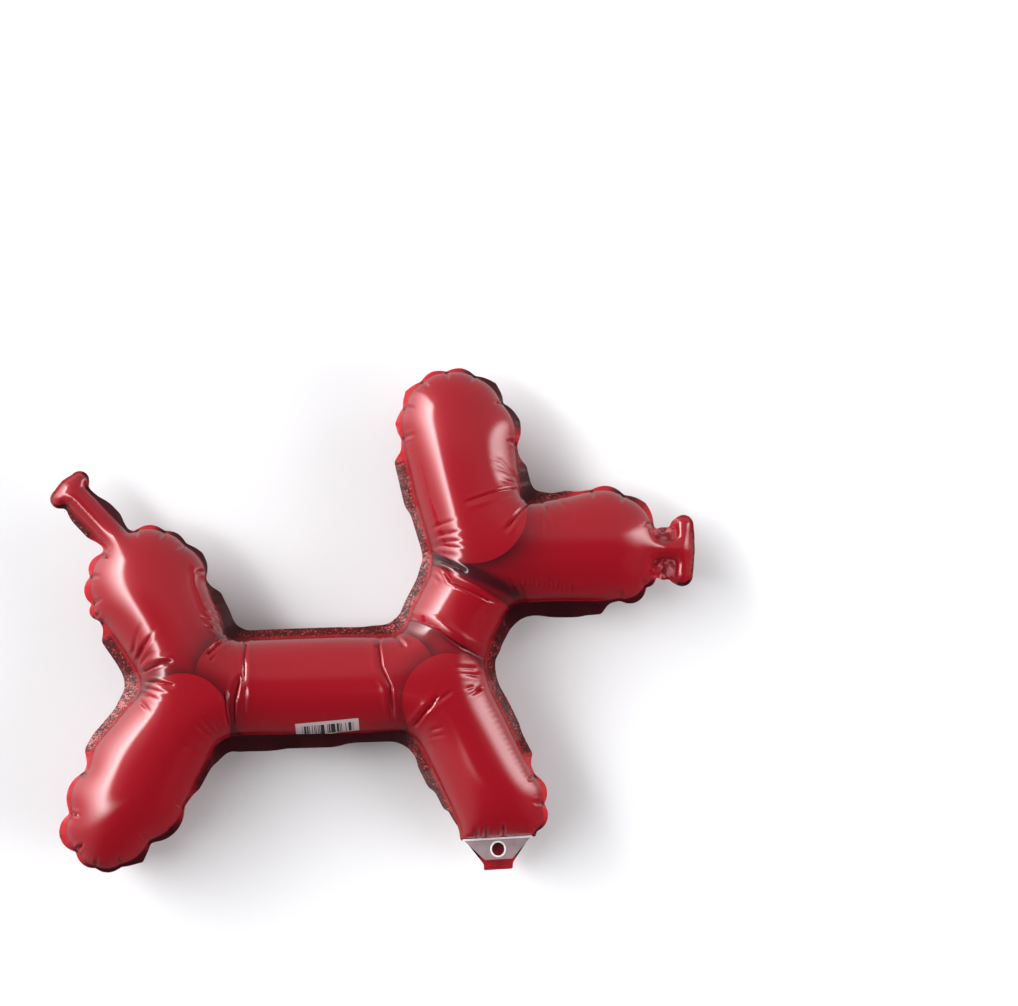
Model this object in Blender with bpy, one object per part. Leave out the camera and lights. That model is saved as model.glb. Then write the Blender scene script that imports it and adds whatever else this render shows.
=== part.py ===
"""A foil party balloon in the shape of a twisted balloon dog, lying on its side.

Two flat sheets of metallised film are welded together along one outline and filled with
gas, so every limb is a round tube and the weld runs round the figure as a flat flange.
The weld puckers where it goes round the end of a limb, which makes a row of small lobes.

The seam plane is horizontal.  +X runs from the tail to the nose, +Y from the feet to the
ears and +Z is up.  Metres throughout.
"""
import math

import bmesh
import bpy
import numpy as np
from mathutils import Vector
from mathutils.geometry import delaunay_2d_cdt

# Every limb is a chain of stations (x, y, half width) in the seam plane, root first.
LIMBS = {
    "ear": ((0.066, 0.042, 0.029), (0.0585, 0.082, 0.033), (0.0535, 0.109, 0.0342),
            (0.0498, 0.1225, 0.031)),
    "snout": ((0.076, 0.038, 0.029), (0.107, 0.042, 0.031), (0.137, 0.045, 0.034),
              (0.142, 0.045, 0.0335)),
    "neck": ((0.062, 0.022, 0.026), (0.049, -0.003, 0.026), (0.041, -0.027, 0.027)),
    "body": ((-0.098, -0.044, 0.029), (-0.076, -0.0425, 0.0295), (-0.020, -0.041, 0.030),
             (0.014, -0.0405, 0.0295), (0.037, -0.044, 0.028)),
    "front_leg": ((0.042, -0.044, 0.027), (0.0545, -0.068, 0.027), (0.0765, -0.113, 0.0268),
                  (0.077, -0.131, 0.022)),
    "rump": ((-0.112, -0.038, 0.028), (-0.124, -0.009, 0.0315), (-0.139, 0.017, 0.034),
             (-0.1395, 0.0205, 0.034)),
    "hind_leg": ((-0.113, -0.050, 0.028), (-0.122, -0.064, 0.0285), (-0.143, -0.095, 0.0324),
                 (-0.1615, -0.1275, 0.025)),
}

# The welded end of a limb is drawn in at pinches and stands out as a lobe between two of
# them: each row of pinches, clockwise, and how round its lobes are at the weld and at the cut
# edge (a lobe's radius over half the gap between its pinches).
PINCHES = (
    (((0.0195, 0.1130), (0.0205, 0.1315), (0.0310, 0.1475), (0.0460, 0.1535), (0.0630, 0.1510),
      (0.0800, 0.1345), (0.0885, 0.1095)), 1.55, 1.27),
    (((0.1360, 0.0790), (0.1555, 0.0760), (0.1730, 0.0590)), 1.55, 1.25),
    (((0.1740, 0.0285), (0.1685, 0.0210), (0.1540, 0.0125)), 1.40, 1.10),
    (((-0.1725, 0.0010), (-0.1720, 0.0095), (-0.1740, 0.0260), (-0.1670, 0.0395)), 1.40, 1.10),
    (((-0.1465, 0.0545), (-0.1300, 0.0535), (-0.1175, 0.0455), (-0.1040, 0.0290)), 1.55, 1.30),
    (((-0.1175, -0.1165), (-0.1385, -0.1370), (-0.1555, -0.1515), (-0.1705, -0.1530),
      (-0.1820, -0.1430)), 1.55, 1.30),
    (((-0.1820, -0.1430), (-0.1850, -0.1210)), 1.20, 1.02),
    (((-0.1850, -0.1210), (-0.1790, -0.0965)), 1.60, 1.30),
    (((0.0995, -0.0980), (0.1040, -0.1145), (0.1015, -0.1300)), 1.45, 1.20),
)
BLEND = 0.009           # how softly two limbs run into each other
SMALL_BLEND = 0.003     # the same where a thin tube leaves a limb

# The tail and the nose end in thin tubes with a puffed lip across the end.
TAIL = ((-0.150, 0.040, 0.008), (-0.187, 0.079, 0.0077))
TAIL_LIP_HALF = 0.0085
TAIL_LIP_WIDTH = 0.0042
NOZZLE = ((0.160, 0.044, 0.0065), (0.190, 0.043, 0.006))
NOZZLE_LIP_HALF = 0.0160
NOZZLE_LIP_WIDTH = 0.0044
LIP_SET = 0.0025        # the lip's middle line beyond the end of its tube

# The width of the flange, which isn't even: places on it and the width there.
FLANGES = (
    (0.015, 0.102, 0.0074), (0.024, 0.080, 0.0074), (0.031, 0.060, 0.0054), (0.036, 0.043, 0.0052),
    (0.032, 0.024, 0.0064), (0.024, 0.007, 0.0064), (0.014, -0.007, 0.0075), (-0.020, -0.008, 0.0062),
    (-0.076, -0.010, 0.0062), (-0.084, -0.009, 0.0070), (-0.094, 0.009, 0.0064), (-0.180, 0.062, 0.0048),
    (-0.160, 0.063, 0.0048), (-0.178, 0.087, 0.0010), (-0.200, 0.072, 0.0010), (-0.194, 0.084, 0.0010),
    (-0.162, -0.016, 0.0080), (-0.146, -0.042, 0.0085), (-0.164, -0.066, 0.0060),
    (-0.172, -0.084, 0.0055), (-0.098, -0.076, 0.0070), (-0.107, -0.097, 0.0043),
    (-0.074, -0.075, 0.0099), (-0.039, -0.076, 0.0084), (0.001, -0.074, 0.0058), (0.024, -0.081, 0.0062),
    (0.032, -0.097, 0.0074), (0.043, -0.113, 0.0048), (0.049, -0.123, 0.0025), (0.085, -0.060, 0.0070),
    (0.094, -0.076, 0.0059), (0.096, -0.089, 0.0065), (0.071, -0.030, 0.0058), (0.079, -0.013, 0.0074),
    (0.090, 0.004, 0.0080), (0.121, 0.009, 0.0097), (0.141, 0.010, 0.0080), (0.119, 0.076, 0.0043),
    (0.097, 0.076, 0.0070), (0.089, 0.102, 0.0060), (0.178, 0.056, 0.0060), (0.178, 0.030, 0.0060),
    (0.195, 0.065, 0.0010), (0.195, 0.020, 0.0015), (0.200, 0.043, 0.0025),
)
END_FLANGE = 0.0010     # its width at a pinch
DRAWN_IN = 0.005        # how far from a pinch the flange is at its narrowest
GROWN_BACK = 0.017      # how far from a pinch it has its full width again
SMOOTHED = 0.010        # how deep inside the weld the lobes no longer show in the tube
FILM = 0.0008           # both sheets together, drawn thicker than the real film

# The web of flange between the snout's end and the lip of the nose.
WEB = ((0.181, 0.0315, 0.0065), (0.181, 0.0515, 0.0065))

# The front foot is sealed straight across, and the filling neck hangs below the seal.
SEAL_MIDDLE = (0.0766, -0.1350)
SEAL_TILT = math.radians(3.4)
NECK_TOP = 0.0208       # half widths of the neck at the seal and at its strip
NECK_STRIP = 0.0090
NECK_TAPER = 0.0160     # how far below the seal it narrows, and where it ends
NECK_LENGTH = 0.0196
NECK_BEHIND = 0.0060    # how far it runs on behind the seal, inside the foot

# The clear valve film that lies on the neck, with its filling hole.
VALVE_TOP = 0.0205
VALVE_BOTTOM = 0.0085
VALVE_HEIGHT = 0.0125
VALVE_DROP = 0.0012     # its top edge below the seal
VALVE_THICK = 0.0006
VALVE_GAP = 0.0003
HOLE_HALF = (0.0040, 0.0042)
HOLE_SIDES = 20

# The balloon lies on its fattest limbs, each of which is pressed flat by up to 3 mm.
REST_HEIGHT = 0.0312

# How finely the solid is faceted.
SPACING = 0.0062        # between the points of the lattice inside the outline
RIM_STEP = 0.0046       # between points along the weld
SHOULDER = 0.0026       # depth of the first ring of points inside the weld
SAMPLE = 0.001          # grid on which the outline is followed
SPARE = 0.017           # room round the figure on that grid


def chain(points, stations):
    """Signed distance to a chain of tapered tubes, and the half width found there."""
    best = np.full(len(points), np.inf)
    half_width = np.zeros(len(points))
    for (x0, y0, r0), (x1, y1, r1) in zip(stations[:-1], stations[1:]):
        start = np.array([x0, y0])
        run = np.array([x1, y1]) - start
        share = np.clip(((points - start) @ run) / (run @ run), 0, 1)
        radius = r0 + (r1 - r0) * share
        away = np.linalg.norm(points - start - share[:, None] * run, axis=1) - radius
        nearer = away < best
        best[nearer] = away[nearer]
        half_width[nearer] = radius[nearer]
    return best, half_width


def soft_min(a, b, blend):
    """The smaller of two distances, rounded over where they are alike."""
    share = np.clip(0.5 + 0.5 * (b - a) / blend, 0, 1)
    return b + (a - b) * share - blend * share * (1 - share)


def past_seal(points):
    """How far each point is below the foot's seal, and how far along it."""
    along = np.array([math.cos(SEAL_TILT), math.sin(SEAL_TILT)])
    down = np.array([math.sin(SEAL_TILT), -math.cos(SEAL_TILT)])
    offset = points - np.array(SEAL_MIDDLE)
    return offset @ down, offset @ along


def lip(tube, half, width):
    """The puffed bar across the far end of a thin tube, as a chain of two stations."""
    (x0, y0, _), (x1, y1, _) = tube
    run = Vector((x1 - x0, y1 - y0)).normalized()
    middle = Vector((x1, y1)) + run * LIP_SET
    side = Vector((-run.y, run.x)) * half
    return ((*(middle + side), width), (*(middle - side), width))


TUBES = (TAIL, lip(TAIL, TAIL_LIP_HALF, TAIL_LIP_WIDTH),
         NOZZLE, lip(NOZZLE, NOZZLE_LIP_HALF, NOZZLE_LIP_WIDTH))


def ramp(values, low, high):
    """0 below low and 1 above high, with soft ends."""
    share = np.clip((values - low) / (high - low), 0, 1)
    return share * share * (3 - 2 * share)


def sealed(weld, points):
    """Cuts a distance off straight across the foot."""
    below, along = past_seal(points)
    return np.where(np.abs(along) < NECK_TOP * 2, np.maximum(weld, below), weld)


def limbs_distance(points):
    """Signed distance to the limbs without their lobes, and the tube's half width there."""
    fields = [(*chain(points, stations), BLEND) for stations in LIMBS.values()]
    fields += [(*chain(points, stations), SMALL_BLEND) for stations in TUBES]
    weld = fields[0][0]
    for away, _, blend in fields[1:]:
        weld = soft_min(weld, away, blend)
    nearest = np.min([away for away, _, _ in fields], axis=0)
    weights = [np.exp((nearest - away) / (BLEND / 2)) for away, _, _ in fields]
    width = sum(w * f[1] for w, f in zip(weights, fields)) / sum(weights)
    return sealed(weld, points), width


def with_lobes(weld, points, at_cut):
    """Adds the lobes to a distance: one arc through each two neighbouring pinches."""
    for row, *roundness in PINCHES:
        for (x0, y0), (x1, y1) in zip(row[:-1], row[1:]):
            half = math.dist((x0, y0), (x1, y1)) / 2
            radius = half * roundness[at_cut]
            set_in = math.sqrt(radius ** 2 - half ** 2) / (2 * half)
            centre = ((x0 + x1) / 2 + (y1 - y0) * set_in, (y0 + y1) / 2 - (x1 - x0) * set_in)
            weld = np.minimum(weld, np.linalg.norm(points - centre, axis=1) - radius)
    return sealed(weld, points)


def weld_distance(points):
    """Signed distance to the weld line."""
    return with_lobes(limbs_distance(points)[0], points, False)


def pinch_points():
    """Every pinch, and the two corners of the foot's seal."""
    found = [place for row, *_ in PINCHES for place in row]
    x, y = SEAL_MIDDLE
    for side in (-NECK_TOP, NECK_TOP):
        found.append((x + side * math.cos(SEAL_TILT), y + side * math.sin(SEAL_TILT)))
    return np.array(found)


def flange_width(points):
    """Width of the flange at each point."""
    total, weights = 0, 0
    for x, y, width in FLANGES:
        weight = 1 / (np.sum((points - (x, y)) ** 2, axis=1) ** 2 + SAMPLE ** 4)
        total = total + weight * width
        weights = weights + weight
    away = np.min([np.linalg.norm(points - pinch, axis=1) for pinch in pinch_points()], axis=0)
    return END_FLANGE + (total / weights - END_FLANGE) * ramp(away, DRAWN_IN, GROWN_BACK)


def cut_distance(points):
    """Signed distance to the outline that the sheets are cut to."""
    limbs = limbs_distance(points)[0]
    lobed = with_lobes(limbs, points, True)
    cut = soft_min(limbs - flange_width(points), lobed - END_FLANGE, SMALL_BLEND)
    cut = soft_min(cut, chain(points, WEB)[0], SMALL_BLEND)
    below, along = past_seal(points)
    cut = np.where(np.abs(along) < NECK_TOP * 2, np.maximum(cut, below - END_FLANGE), cut)
    share = np.clip(below / NECK_TAPER, 0, 1)
    neck = np.abs(along) - (NECK_TOP + (NECK_STRIP - NECK_TOP) * share)
    neck = np.maximum(neck, np.maximum(below - NECK_LENGTH, -below - NECK_BEHIND))
    return np.minimum(cut, neck)


def dome(points):
    """Height of the blown-up film over the seam plane, which is 0 on the flange."""
    weld = weld_distance(points)
    limbs, width = limbs_distance(points)
    inner = ramp(-limbs, 0, SMOOTHED)
    depth = np.clip(-weld * (1 - inner) - limbs * inner, 0, width)
    depth = np.where(weld > -FILM / 2, 0, depth)
    return np.sqrt(depth * (2 * width - depth))


class Sampled:
    """A distance sampled on a fine grid, so that a contour can be walked quickly."""

    def __init__(self, distance, low, high):
        self.low = np.array(low)
        size = np.ceil((np.array(high) - self.low) / SAMPLE).astype(int) + 1
        rows, columns = np.mgrid[0:size[1], 0:size[0]]
        points = np.stack([columns.ravel(), rows.ravel()], axis=1) * SAMPLE + self.low
        self.values = distance(points).reshape(size[1], size[0])
        self.slopes = np.stack(np.gradient(self.values, SAMPLE)[::-1], axis=-1)

    def at(self, table, point):
        """Bilinear value of a table at one point."""
        u, v = (point - self.low) / SAMPLE
        i, j = int(u), int(v)
        s, t = u - i, v - j
        near = table[j, i] * (1 - s) + table[j, i + 1] * s
        far = table[j + 1, i] * (1 - s) + table[j + 1, i + 1] * s
        return near * (1 - t) + far * t

    def onto(self, point, level):
        """Moves a point down the slope onto a contour, and returns it with the slope."""
        for _ in range(4):
            slope = self.at(self.slopes, point)
            steep = max(float(slope @ slope), 0.1)
            point = point - slope * (self.at(self.values, point) - level) / steep
        return point, slope / max(np.linalg.norm(slope), 1e-6)

    def contour(self, level, step):
        """Points along one closed contour, a step apart, anticlockwise."""
        inside = np.argwhere(self.values < level)
        row, column = inside[np.argmin(inside[:, 0])]
        start, slope = self.onto(np.array([column, row]) * SAMPLE + self.low, level)
        loop = [start]
        point = start
        while len(loop) < 4 or np.linalg.norm(point - start) > step * 0.8:
            ahead = np.array([-slope[1], slope[0]])
            point, slope = self.onto(point + ahead * step, level)
            loop.append(point)
        return np.array(loop[:-1])


def lattice(low, high):
    """A triangular lattice of points over a rectangle."""
    points = []
    row_height = SPACING * math.sqrt(3) / 2
    for row in range(int((high[1] - low[1]) / row_height) + 1):
        shift = SPACING / 2 * (row % 2)
        for column in range(int((high[0] - low[0]) / SPACING) + 1):
            points.append((low[0] + column * SPACING + shift, low[1] + row * row_height))
    return np.array(points)


def reach_of_figure():
    """The rectangle that holds the figure, with room to spare."""
    stations = [s for limb in LIMBS.values() for s in limb]
    stations += [s for tube in TUBES for s in tube]
    stations += [(*SEAL_MIDDLE, NECK_LENGTH)]
    x, y, r = np.array(stations).T
    low = ((x - r).min() - SPARE, (y - r).min() - SPARE)
    high = ((x + r).max() + SPARE, (y + r).max() + SPARE)
    return low, high


def material(name, colour, roughness, metallic):
    """A plain surface finish."""
    finish = bpy.data.materials.new(name)
    finish.use_nodes = True
    shader = finish.node_tree.nodes["Principled BSDF"]
    shader.inputs["Base Color"].default_value = (*colour, 1)
    shader.inputs["Roughness"].default_value = roughness
    shader.inputs["Metallic"].default_value = metallic
    return finish


def in_collection(name, mesh, finish, place):
    """An object for a mesh, with its finish, in the balloon's collection."""
    mesh.materials.append(finish)
    thing = bpy.data.objects.new(name, mesh)
    thing.location = place
    collection.objects.link(thing)
    return thing


def envelope():
    """The inflated envelope: both sheets, the flange, the lips and the filling neck."""
    low, high = reach_of_figure()
    weld = Sampled(weld_distance, low, high)
    edge = Sampled(cut_distance, low, high)
    loops = [edge.contour(0, RIM_STEP), weld.contour(0, RIM_STEP), weld.contour(-SHOULDER, RIM_STEP)]
    for pinch in pinch_points():
        away = np.linalg.norm(loops[1] - pinch, axis=1)
        loops[1][np.argmin(away)] = pinch
    inner = lattice(low, high)
    inner = inner[weld_distance(inner) < -SHOULDER - SPACING * 0.45]
    points = np.concatenate(loops + [inner])
    borders = []
    first = 0
    for loop in loops:
        count = len(loop)
        borders += [(first + k, first + (k + 1) % count) for k in range(count)]
        first += count
    flat, _, faces, _, _, _ = delaunay_2d_cdt([Vector(p) for p in points], borders, [], 1, 1e-7)

    places = np.array([tuple(p) for p in flat])
    height = FILM / 2 + dome(places)

    solid = bmesh.new()
    corners = [solid.verts.new((x, y, z)) for (x, y), z in zip(places, height)]
    for face in faces:
        solid.faces.new([corners[k] for k in face])
    bmesh.ops.recalc_face_normals(solid, faces=solid.faces)
    if sum(face.normal.z for face in solid.faces) < 0:
        bmesh.ops.reverse_faces(solid, faces=solid.faces)
    rim = [e for e in solid.edges if e.is_boundary]
    skirt = bmesh.ops.extrude_edge_only(solid, edges=rim)["geom"]
    for vert in [v for v in skirt if isinstance(v, bmesh.types.BMVert)]:
        vert.co.z = 0
    bmesh.ops.mirror(solid, geom=solid.verts[:] + solid.edges[:] + solid.faces[:],
                     axis="Z", merge_dist=1e-6)
    for vert in solid.verts:
        vert.co.z = max(vert.co.z, -REST_HEIGHT)
    bmesh.ops.recalc_face_normals(solid, faces=solid.faces)
    mesh = bpy.data.meshes.new("balloon")
    solid.to_mesh(mesh)
    solid.free()
    mesh.shade_smooth()
    mesh.set_sharp_from_angle(angle=math.radians(50))
    return mesh, (loops[0].min(axis=0) + loops[0].max(axis=0)) / 2


def valve():
    """The valve film: a flat trapezium with its filling hole, in the seal's own directions."""
    flat = bpy.data.curves.new("valve_film", "CURVE")
    flat.dimensions = "2D"
    flat.fill_mode = "BOTH"
    flat.extrude = VALVE_THICK / 2
    foot = VALVE_DROP + VALVE_HEIGHT
    outline = ((-VALVE_TOP, -VALVE_DROP), (VALVE_TOP, -VALVE_DROP), (VALVE_BOTTOM, -foot),
               (-VALVE_BOTTOM, -foot))
    centre = VALVE_DROP + VALVE_HEIGHT / 2
    turns = [2 * math.pi * k / HOLE_SIDES for k in range(HOLE_SIDES)]
    hole = [(HOLE_HALF[0] * math.cos(a), HOLE_HALF[1] * math.sin(a) - centre) for a in turns]
    for border in (outline, hole):
        spline = flat.splines.new("POLY")
        spline.points.add(len(border) - 1)
        for point, (x, y) in zip(spline.points, border):
            point.co = (x, y, 0, 1)
        spline.use_cyclic_u = True
    drawn = bpy.data.objects.new("valve_outline", flat)
    collection.objects.link(drawn)
    shape = drawn.evaluated_get(bpy.context.evaluated_depsgraph_get())
    mesh = bpy.data.meshes.new_from_object(shape)
    bpy.data.objects.remove(drawn)
    solid = bmesh.new()
    solid.from_mesh(mesh)
    bmesh.ops.remove_doubles(solid, verts=solid.verts, dist=1e-5)
    solid.to_mesh(mesh)
    solid.free()
    return mesh


for thing in list(bpy.data.objects):
    bpy.data.objects.remove(thing)
collection = bpy.data.collections.new("foil_balloon_dog")
bpy.context.scene.collection.children.link(collection)

red_foil = material("red_foil", (0.45, 0.012, 0.028), 0.30, 0.35)
grey_film = material("grey_film", (0.30, 0.21, 0.22), 0.35, 0.30)

mesh, middle = envelope()
in_collection("balloon", mesh, red_foil, (-middle[0], -middle[1], REST_HEIGHT))
film = in_collection("valve_film", valve(), grey_film,
                     (SEAL_MIDDLE[0] - middle[0], SEAL_MIDDLE[1] - middle[1],
                      REST_HEIGHT + FILM / 2 + VALVE_GAP + VALVE_THICK / 2))
film.rotation_euler.z = SEAL_TILT
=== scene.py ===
# %% [markdown]
# A foil balloon dog that lies on its side, seen from above.
#
# The real thing is two flat sheets of metallised polyester film, welded together along one
# outline and blown up.  Every limb becomes a round tube, the weld becomes a flat flange,
# and the film, which can bend but hardly stretch, takes up what is left over in wrinkles.
# This lesson builds that film finely, presses its wrinkles into it, prints it and lights it.

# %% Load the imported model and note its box
import math

import bmesh
import bpy
import numpy as np
from mathutils import Matrix, Vector, kdtree
from mathutils.geometry import delaunay_2d_cdt


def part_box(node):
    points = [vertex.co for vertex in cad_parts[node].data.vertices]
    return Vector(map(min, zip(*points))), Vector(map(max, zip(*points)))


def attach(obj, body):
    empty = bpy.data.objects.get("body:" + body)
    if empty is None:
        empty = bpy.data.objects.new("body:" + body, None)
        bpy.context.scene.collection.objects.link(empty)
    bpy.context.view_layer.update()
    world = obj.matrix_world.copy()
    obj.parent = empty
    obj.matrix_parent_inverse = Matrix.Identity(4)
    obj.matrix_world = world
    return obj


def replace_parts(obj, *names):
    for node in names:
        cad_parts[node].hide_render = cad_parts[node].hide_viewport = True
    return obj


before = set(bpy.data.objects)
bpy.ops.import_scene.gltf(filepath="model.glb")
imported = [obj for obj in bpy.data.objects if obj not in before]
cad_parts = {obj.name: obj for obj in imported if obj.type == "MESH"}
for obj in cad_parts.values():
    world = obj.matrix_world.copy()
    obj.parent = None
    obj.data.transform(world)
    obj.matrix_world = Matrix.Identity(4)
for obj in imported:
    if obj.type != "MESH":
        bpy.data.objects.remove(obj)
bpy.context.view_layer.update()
BALLOON_LOW, BALLOON_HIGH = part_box("balloon")
FILM_LOW, FILM_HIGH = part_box("valve_film")
print("balloon", [round(v * 1000, 1) for v in BALLOON_HIGH - BALLOON_LOW], "mm")

# %% [markdown]
# The figure's skeleton.  Each limb is a chain of stations: a place in the seam plane and
# the tube's half width there, root first.  These are the model's own sizes, so the fine film
# lies where the solid does.  An even distance round a bent line is how such a weld is drawn,
# which is why a distance field is a natural way to write the shape down.

# %% The limbs, in metres
LIMBS = {
    "ear": ((0.066, 0.042, 0.029), (0.0585, 0.082, 0.033), (0.0535, 0.109, 0.0342),
            (0.0498, 0.1225, 0.031)),
    "snout": ((0.076, 0.038, 0.029), (0.107, 0.042, 0.031), (0.137, 0.045, 0.034),
              (0.142, 0.045, 0.0335)),
    "neck": ((0.062, 0.022, 0.026), (0.049, -0.003, 0.026), (0.041, -0.027, 0.027)),
    "body": ((-0.098, -0.044, 0.029), (-0.076, -0.0425, 0.0295), (-0.020, -0.041, 0.030),
             (0.014, -0.0405, 0.0295), (0.037, -0.044, 0.028)),
    "front_leg": ((0.042, -0.044, 0.027), (0.0545, -0.068, 0.027), (0.0765, -0.113, 0.0268),
                  (0.077, -0.131, 0.022)),
    "rump": ((-0.112, -0.038, 0.028), (-0.124, -0.009, 0.0315), (-0.139, 0.017, 0.034),
             (-0.1395, 0.0205, 0.034)),
    "hind_leg": ((-0.113, -0.050, 0.028), (-0.122, -0.064, 0.0285), (-0.143, -0.095, 0.0324),
                 (-0.1615, -0.1275, 0.025)),
}
fattest = max(half for limb in LIMBS.values() for _, _, half in limb)
print(len(LIMBS), "limbs, the fattest", round(2000 * fattest, 1), "mm across")

# %% [markdown]
# Where the weld goes round the end of a limb it is too long for the blown-up tube, so it
# folds: it is drawn in at pinches, and stands out as a lobe between two of them.  Each lobe
# is an arc through its two pinches.  The weld bulges out less than the cut edge does, which
# leaves the crescent of flange that shows behind every lobe.

# %% The pinches, and how round their lobes are at the weld and at the cut edge
PINCHES = (
    (((0.0195, 0.1130), (0.0205, 0.1315), (0.0310, 0.1475), (0.0460, 0.1535), (0.0630, 0.1510),
      (0.0800, 0.1345), (0.0885, 0.1095)), 1.9, 1.27),
    (((0.1360, 0.0790), (0.1555, 0.0760), (0.1730, 0.0590)), 1.9, 1.25),
    (((0.1740, 0.0285), (0.1685, 0.0210), (0.1540, 0.0125)), 1.7, 1.10),
    (((-0.1725, 0.0010), (-0.1720, 0.0095), (-0.1740, 0.0260), (-0.1670, 0.0395)), 1.7, 1.10),
    (((-0.1465, 0.0545), (-0.1300, 0.0535), (-0.1175, 0.0455), (-0.1040, 0.0290)), 1.9, 1.30),
    (((-0.1175, -0.1165), (-0.1385, -0.1370), (-0.1555, -0.1515), (-0.1705, -0.1530),
      (-0.1820, -0.1430)), 1.9, 1.30),
    (((-0.1820, -0.1430), (-0.1850, -0.1210)), 1.20, 1.02),
    (((-0.1850, -0.1210), (-0.1790, -0.0965)), 1.60, 1.30),
    (((0.0995, -0.0980), (0.1040, -0.1145), (0.1015, -0.1300)), 1.8, 1.20),
)
print(sum(len(row) - 1 for row, *_ in PINCHES), "lobes in", len(PINCHES), "rows")

# %% [markdown]
# The flange is the welded margin.  It isn't equally wide everywhere, so its width is noted
# at places beside the weld, and every point takes a mean of them that leans to the nearest.
# At a pinch it is drawn in to almost nothing.

# %% The flange: places along it and its width there
FLANGES = (
    (0.015, 0.102, 0.0074), (0.024, 0.080, 0.0074), (0.031, 0.060, 0.0054), (0.036, 0.043, 0.0052),
    (0.032, 0.024, 0.0064), (0.024, 0.007, 0.0064), (0.014, -0.007, 0.0075), (-0.020, -0.008, 0.0062),
    (-0.076, -0.010, 0.0062), (-0.084, -0.009, 0.0070), (-0.094, 0.009, 0.0064), (-0.180, 0.062, 0.0048),
    (-0.160, 0.063, 0.0048), (-0.178, 0.087, 0.0010), (-0.200, 0.072, 0.0010), (-0.194, 0.084, 0.0010),
    (-0.162, -0.016, 0.0080), (-0.146, -0.042, 0.0085), (-0.164, -0.066, 0.0060),
    (-0.172, -0.084, 0.0055), (-0.098, -0.076, 0.0070), (-0.107, -0.097, 0.0043),
    (-0.074, -0.075, 0.0099), (-0.039, -0.076, 0.0084), (0.001, -0.074, 0.0058), (0.024, -0.081, 0.0062),
    (0.032, -0.097, 0.0074), (0.043, -0.113, 0.0048), (0.049, -0.123, 0.0025), (0.085, -0.060, 0.0070),
    (0.094, -0.076, 0.0059), (0.096, -0.089, 0.0065), (0.071, -0.030, 0.0058), (0.079, -0.013, 0.0074),
    (0.090, 0.004, 0.0080), (0.121, 0.009, 0.0097), (0.141, 0.010, 0.0080), (0.119, 0.076, 0.0043),
    (0.097, 0.076, 0.0070), (0.089, 0.102, 0.0060), (0.178, 0.056, 0.0060), (0.178, 0.030, 0.0060),
    (0.195, 0.065, 0.0010), (0.195, 0.020, 0.0015), (0.200, 0.043, 0.0025),
)

END_FLANGE = 0.0010     # its width at a pinch
DRAWN_IN, GROWN_BACK = 0.005, 0.017     # how far from a pinch it is that narrow, and wide again
print("flange up to", round(1000 * max(width for _, _, width in FLANGES), 1), "mm wide")

# %% [markdown]
# The tail and the nose end in thin tubes with a puffed lip across the end, drawn like the
# knots of a twisted balloon.  Under the front foot the weld is cut straight across, and the
# neck that the balloon is filled through goes on below it, flat.

# %% Thin tubes with a puffed lip, the foot's seal and the filling neck
TAIL = ((-0.150, 0.040, 0.008), (-0.187, 0.079, 0.0077))
NOZZLE = ((0.160, 0.044, 0.0065), (0.190, 0.043, 0.006))
TAIL_LIP_HALF, TAIL_LIP_WIDTH = 0.0085, 0.0042
NOZZLE_LIP_HALF, NOZZLE_LIP_WIDTH = 0.0160, 0.0044
LIP_SET = 0.0025        # the lip's middle line beyond the end of its tube
WEB = ((0.181, 0.0315, 0.0065), (0.181, 0.0515, 0.0065))     # flange between snout and lip
BLEND, SMALL_BLEND = 0.009, 0.003
SEAL_MIDDLE, SEAL_TILT = (0.0766, -0.1350), math.radians(3.4)
NECK_TOP, NECK_STRIP, NECK_TAPER, NECK_LENGTH = 0.0208, 0.0090, 0.0160, 0.0196
NECK_BEHIND = 0.0060    # how far the neck runs on behind the seal, inside the foot
SAMPLE, SPARE = 0.001, 0.017            # the distance grid's step, and its margin
print("tail", round(1000 * math.dist(*[place[:2] for place in TAIL])), "mm and neck",
      round(1000 * NECK_LENGTH, 1), "mm long")

# %% [markdown]
# A signed distance says how far a point lies outside a shape, or inside it as a negative
# number.  The distance to a chain of tapered tubes is easily worked out, two shapes are
# joined by the smaller of their distances, and a smaller one with soft edges rounds the
# crotch between two limbs.  The weld and the cut edge are then contours of such distances.


# %% Distances to a bent line
def chain(points, stations):
    """Signed distance to a chain of tapered tubes, and the half width found there."""
    best = np.full(len(points), np.inf)
    half_width = np.zeros(len(points))
    for (x0, y0, r0), (x1, y1, r1) in zip(stations[:-1], stations[1:]):
        start = np.array([x0, y0])
        run = np.array([x1, y1]) - start
        share = np.clip(((points - start) @ run) / (run @ run), 0, 1)
        radius = r0 + (r1 - r0) * share
        away = np.linalg.norm(points - start - share[:, None] * run, axis=1) - radius
        nearer = away < best
        best[nearer] = away[nearer]
        half_width[nearer] = radius[nearer]
    return best, half_width


def soft_min(a, b, blend):
    """The smaller of two distances, rounded over where they are alike."""
    share = np.clip(0.5 + 0.5 * (b - a) / blend, 0, 1)
    return b + (a - b) * share - blend * share * (1 - share)


# %% The foot's seal, and the lips
def past_seal(points):
    """How far each point is below the foot's seal, and how far along it."""
    along = np.array([math.cos(SEAL_TILT), math.sin(SEAL_TILT)])
    down = np.array([math.sin(SEAL_TILT), -math.cos(SEAL_TILT)])
    offset = points - np.array(SEAL_MIDDLE)
    return offset @ down, offset @ along


def lip(tube, half, width):
    """The puffed bar across the far end of a thin tube, as a chain of two stations."""
    (x0, y0, _), (x1, y1, _) = tube
    run = Vector((x1 - x0, y1 - y0)).normalized()
    middle = Vector((x1, y1)) + run * LIP_SET
    side = Vector((-run.y, run.x)) * half
    return ((*(middle + side), width), (*(middle - side), width))


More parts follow.
